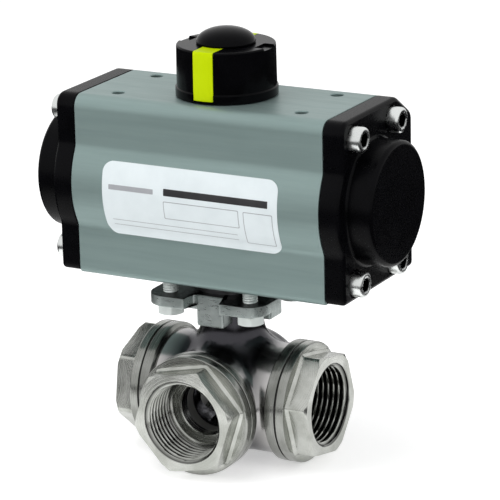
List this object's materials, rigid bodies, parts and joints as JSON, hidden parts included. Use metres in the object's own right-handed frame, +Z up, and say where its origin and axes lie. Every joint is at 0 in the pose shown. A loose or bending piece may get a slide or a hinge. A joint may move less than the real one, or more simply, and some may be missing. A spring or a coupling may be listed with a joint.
{
  "type": "pneumatic three-way ball valve",
  "caption": "Three-way threaded ball valve turned a quarter turn by a rack and pinion pneumatic actuator with a rotating position indicator.",
  "frame": {"origin": "where the axes of the pipe ports cross, in the middle of the ball", "axes": "+Z up the stem, +X along the actuator's cylinder towards the right port, -Y out of the front port"},
  "size_m": [0.1468, 0.086, 0.1721],
  "materials": {
    "body_aluminium": "hard anodised, satin",
    "black_coat": "black powder coat, satin",
    "cast_stainless": "polished casting",
    "machined_stainless": "turned",
    "bright_steel": "bright",
    "spring_steel": "blued",
    "nickel_steel": "nickel plated",
    "die_cast_aluminium": "as cast",
    "black_plastic": "moulded",
    "yellow_plastic": "moulded",
    "white_polymer": "matt",
    "black_rubber": "matt"
  },
  "bodies": {
    "housing": {"actuator_body": "body_aluminium", "end_cap_left": "black_coat", "end_cap_right": "black_coat", "end_cap_seal_left": "black_rubber", "end_cap_seal_right": "black_rubber", "cap_screw_left_1": "bright_steel", "cap_screw_left_2": "bright_steel", "cap_screw_left_3": "bright_steel", "cap_screw_left_4": "bright_steel", "cap_screw_right_1": "bright_steel", "cap_screw_right_2": "bright_steel", "cap_screw_right_3": "bright_steel", "cap_screw_right_4": "bright_steel", "pinion_bearing_upper": "white_polymer", "pinion_bearing_lower": "white_polymer", "stop_screw_left": "bright_steel", "stop_screw_right": "bright_steel", "stop_nut_left": "bright_steel", "stop_nut_right": "bright_steel", "mount_bolt_1": "bright_steel", "mount_bolt_2": "bright_steel", "mount_bolt_3": "bright_steel", "mount_bolt_4": "bright_steel", "centring_ring": "nickel_steel", "valve_body": "cast_stainless", "port_cap_left": "machined_stainless", "port_cap_right": "machined_stainless", "port_cap_front": "machined_stainless", "port_seal_left": "black_rubber", "port_seal_right": "black_rubber", "port_seal_front": "black_rubber", "ball_seat_left": "white_polymer", "ball_seat_right": "white_polymer", "ball_seat_front": "white_polymer", "ball_seat_rear": "white_polymer", "stem_thrust_seal": "white_polymer", "stem_packing": "white_polymer", "gland_ring": "machined_stainless"},
    "drive": {"pinion": "nickel_steel", "stop_cam": "nickel_steel", "pinion_seal_upper": "black_rubber", "pinion_seal_lower": "black_rubber", "thrust_washer": "bright_steel", "snap_ring": "spring_steel", "indicator_cap": "black_plastic", "indicator_strip": "yellow_plastic", "indicator_screw": "bright_steel", "indicator_knob": "black_plastic", "stem": "machined_stainless", "ball": "bright_steel", "disc_spring": "spring_steel", "stem_nut": "bright_steel"},
    "piston_left": {"piston_left": "die_cast_aluminium", "piston_seal_left": "black_rubber", "piston_guide_ring_left": "white_polymer", "rack_guide_left": "white_polymer"},
    "piston_right": {"piston_right": "die_cast_aluminium", "piston_seal_right": "black_rubber", "piston_guide_ring_right": "white_polymer", "rack_guide_right": "white_polymer"}
  },
  "joints": [
    {"name": "piston_left_stroke", "type": "slide", "parent": "housing", "child": "piston_left", "axis": [-1, 0, 0], "range_m": [0, 0.01414]},
    {"name": "drive_turn", "type": "hinge", "parent": "housing", "child": "drive", "pos_m": [0, 0, 0], "axis": [0, 0, 1], "range_deg": [0, 90]},
    {"name": "piston_right_stroke", "type": "slide", "parent": "housing", "child": "piston_right", "axis": [1, 0, 0], "range_m": [0, 0.01414]}
  ],
  "couplings": [
    {"joint": "drive_turn", "follows": "piston_left_stroke", "rad_per_m": 111.11},
    {"joint": "piston_right_stroke", "follows": "piston_left_stroke", "ratio": 1}
  ]
}
